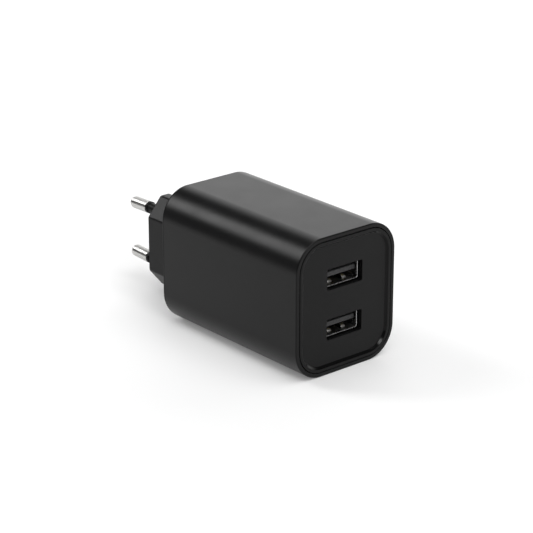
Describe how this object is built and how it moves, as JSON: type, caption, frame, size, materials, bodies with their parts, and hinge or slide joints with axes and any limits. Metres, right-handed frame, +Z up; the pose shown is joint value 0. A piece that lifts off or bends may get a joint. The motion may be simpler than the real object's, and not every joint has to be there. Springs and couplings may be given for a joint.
{
  "type": "usb wall charger",
  "caption": "Compact USB wall charger: rounded box body, recessed front panel with stacked USB-A ports, and a fixed Europlug with round pins on a deep octagonal neck at the rear.",
  "frame": {"origin": "centre of the bounding box at the resting face, with the charger lying on one of its narrow long sides", "axes": "+Y runs through the body from the USB face to the plug pins, +Z is up, +X is across the narrow width"},
  "size_m": [0.0392, 0.1052, 0.044],
  "materials": {
    "case_plastic": "fine satin moulding texture",
    "panel_plastic": "satin face with a glossy bevel",
    "plug_plastic": "satin",
    "sleeve_plastic": "satin",
    "pin_metal": "polished nickel",
    "sheet_steel": "bright tin plated sheet",
    "tongue_plastic": "satin",
    "contact_metal": "gold flashed",
    "board": "solder mask",
    "ferrite": "matt sintered",
    "winding_tape": "glossy film",
    "moulding_black": "moulded epoxy",
    "can_sleeve": "shrink sleeve",
    "copper": "enamelled wire",
    "blue_epoxy": "dipped epoxy",
    "resistor_coat": "lacquer",
    "wire_red": "insulation",
    "wire_blue": "insulation",
    "fibre_sheet": "fish paper"
  },
  "bodies": {
    "charger": {"housing_shell": "case_plastic", "front_panel": "panel_plastic", "plug_body": "plug_plastic", "live_pin": "pin_metal", "neutral_pin": "pin_metal", "live_pin_sleeve": "sleeve_plastic", "neutral_pin_sleeve": "sleeve_plastic", "live_terminal": "sheet_steel", "neutral_terminal": "sheet_steel", "live_wire": "wire_red", "neutral_wire": "wire_blue", "usb_upper_shell": "sheet_steel", "usb_lower_shell": "sheet_steel", "usb_upper_tongue": "tongue_plastic", "usb_lower_tongue": "tongue_plastic", "usb_board": "board", "main_board": "board", "port_chip": "moulding_black", "bridge_rectifier": "moulding_black", "controller_chip": "moulding_black", "rectifier_chip": "moulding_black", "optocoupler": "moulding_black", "insulation_sheet": "fibre_sheet", "transformer_core_front": "ferrite", "transformer_core_rear": "ferrite", "transformer_bobbin": "moulding_black", "transformer_winding": "winding_tape", "input_capacitor_1": "can_sleeve", "input_capacitor_2": "can_sleeve", "output_capacitor_1": "can_sleeve", "output_capacitor_2": "can_sleeve", "line_inductor": "copper", "fuse_resistor": "resistor_coat", "y_capacitor": "blue_epoxy"},
    "usb_upper_contacts": {"usb_upper_contact_1": "contact_metal", "usb_upper_contact_2": "contact_metal", "usb_upper_contact_3": "contact_metal", "usb_upper_contact_4": "contact_metal"},
    "usb_lower_contacts": {"usb_lower_contact_1": "contact_metal", "usb_lower_contact_2": "contact_metal", "usb_lower_contact_3": "contact_metal", "usb_lower_contact_4": "contact_metal"}
  },
  "joints": [
    {"name": "usb_upper_contact_flex", "type": "hinge", "parent": "charger", "child": "usb_upper_contacts", "pos_m": [0, -0.04015, 0.02952], "axis": [-1, 0, 0], "range_deg": [0, 3], "stiffness_Nm_per_rad": 0.27},
    {"name": "usb_lower_contact_flex", "type": "hinge", "parent": "charger", "child": "usb_lower_contacts", "pos_m": [0, -0.04015, 0.01362], "axis": [-1, 0, 0], "range_deg": [0, 3], "stiffness_Nm_per_rad": 0.27}
  ]
}
